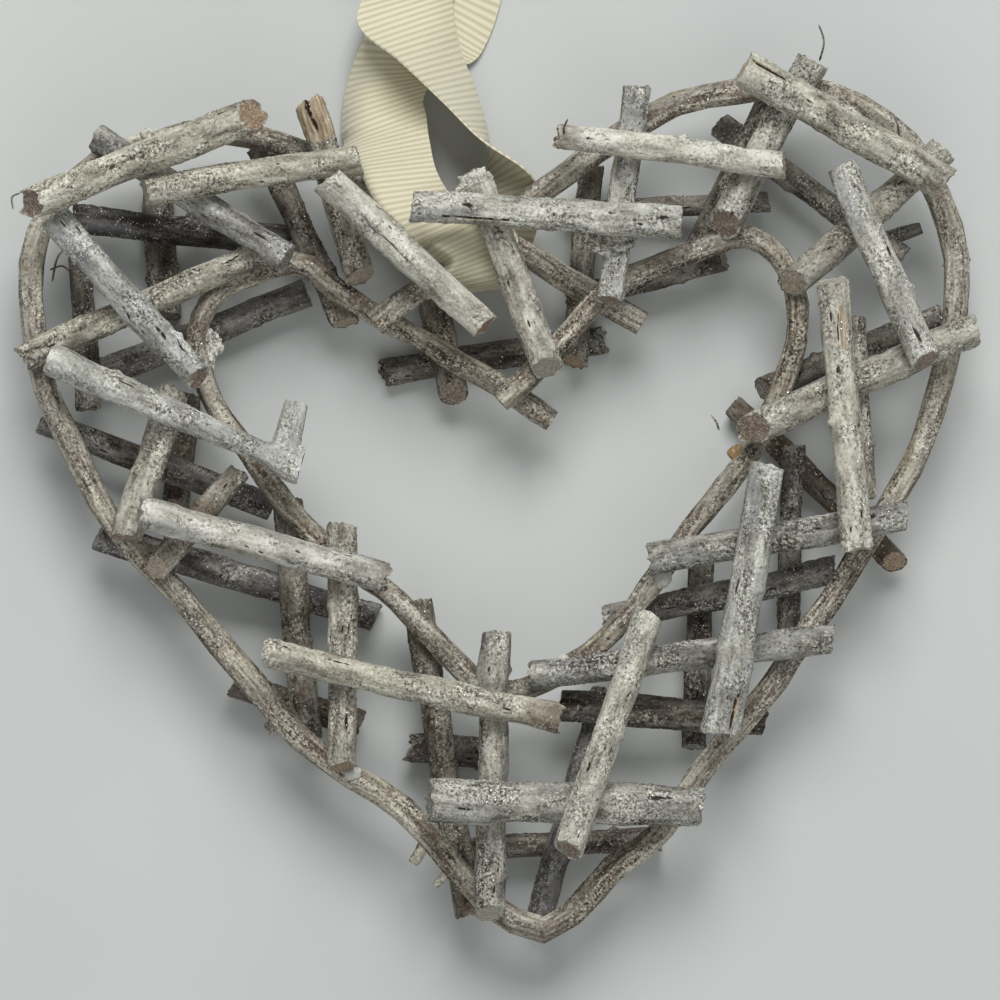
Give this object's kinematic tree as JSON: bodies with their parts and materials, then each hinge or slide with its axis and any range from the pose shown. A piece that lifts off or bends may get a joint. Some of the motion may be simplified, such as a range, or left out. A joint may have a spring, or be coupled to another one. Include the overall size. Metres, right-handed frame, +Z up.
{
  "type": "twig heart wreath",
  "caption": "Heart-shaped wreath of short frosted twigs glued across two bent cane hoops, with a flat ribbon looped round the dip for hanging.",
  "frame": {"origin": "on the table, under the middle of the whole with its ribbon laid out", "axes": "+Z up from the table out of the wreath's front, +Y from the heart's point towards its lobes and ribbon, +X to the right as seen from the front"},
  "size_m": [0.1924, 0.2534, 0.0415],
  "materials": {
    "hoop_bark": "frosted brown cane bark",
    "whitewashed_twig": "whitewashed bark with fine glitter",
    "shaded_twig": "thinly whitewashed grey bark",
    "grosgrain_ribbon": "cream ribbed grosgrain weave"
  },
  "bodies": {
    "root": {"outer_hoop": "hoop_bark", "inner_hoop": "hoop_bark", "twig_front_01": "whitewashed_twig", "twig_front_02": "whitewashed_twig", "twig_front_03": "whitewashed_twig", "twig_front_04": "whitewashed_twig", "twig_front_05": "whitewashed_twig", "twig_front_06": "whitewashed_twig", "twig_front_07": "whitewashed_twig", "twig_front_08": "whitewashed_twig", "twig_front_09": "whitewashed_twig", "twig_front_10": "whitewashed_twig", "twig_front_11": "whitewashed_twig", "twig_front_12": "whitewashed_twig", "twig_front_13": "whitewashed_twig", "twig_front_14": "whitewashed_twig", "twig_front_15": "whitewashed_twig", "twig_top_01": "whitewashed_twig", "twig_top_02": "whitewashed_twig", "twig_top_03": "whitewashed_twig", "twig_top_04": "whitewashed_twig", "twig_top_05": "whitewashed_twig", "twig_top_06": "whitewashed_twig", "twig_top_07": "whitewashed_twig", "twig_top_08": "whitewashed_twig", "twig_top_09": "whitewashed_twig", "twig_top_10": "whitewashed_twig", "twig_top_11": "whitewashed_twig", "twig_top_12": "whitewashed_twig", "twig_top_13": "whitewashed_twig", "twig_top_14": "whitewashed_twig", "twig_top_15": "whitewashed_twig", "twig_back_01": "shaded_twig", "twig_back_02": "shaded_twig", "twig_back_03": "shaded_twig", "twig_back_04": "shaded_twig", "twig_back_05": "shaded_twig", "twig_back_06": "shaded_twig", "twig_back_07": "shaded_twig", "twig_back_08": "shaded_twig", "twig_back_09": "shaded_twig", "twig_back_10": "shaded_twig", "twig_back_11": "shaded_twig", "twig_back_12": "shaded_twig", "twig_back_13": "shaded_twig", "twig_back_14": "shaded_twig", "twig_back_15": "shaded_twig", "twig_back_16": "shaded_twig", "twig_back_17": "shaded_twig", "twig_back_18": "shaded_twig", "twig_back_19": "shaded_twig", "twig_back_20": "shaded_twig", "twig_back_21": "shaded_twig", "twig_back_22": "shaded_twig", "twig_back_23": "shaded_twig", "twig_back_24": "shaded_twig", "twig_back_25": "shaded_twig", "twig_back_26": "shaded_twig", "twig_back_27": "shaded_twig", "hanging_ribbon": "grosgrain_ribbon"}
  },
  "joints": []
}
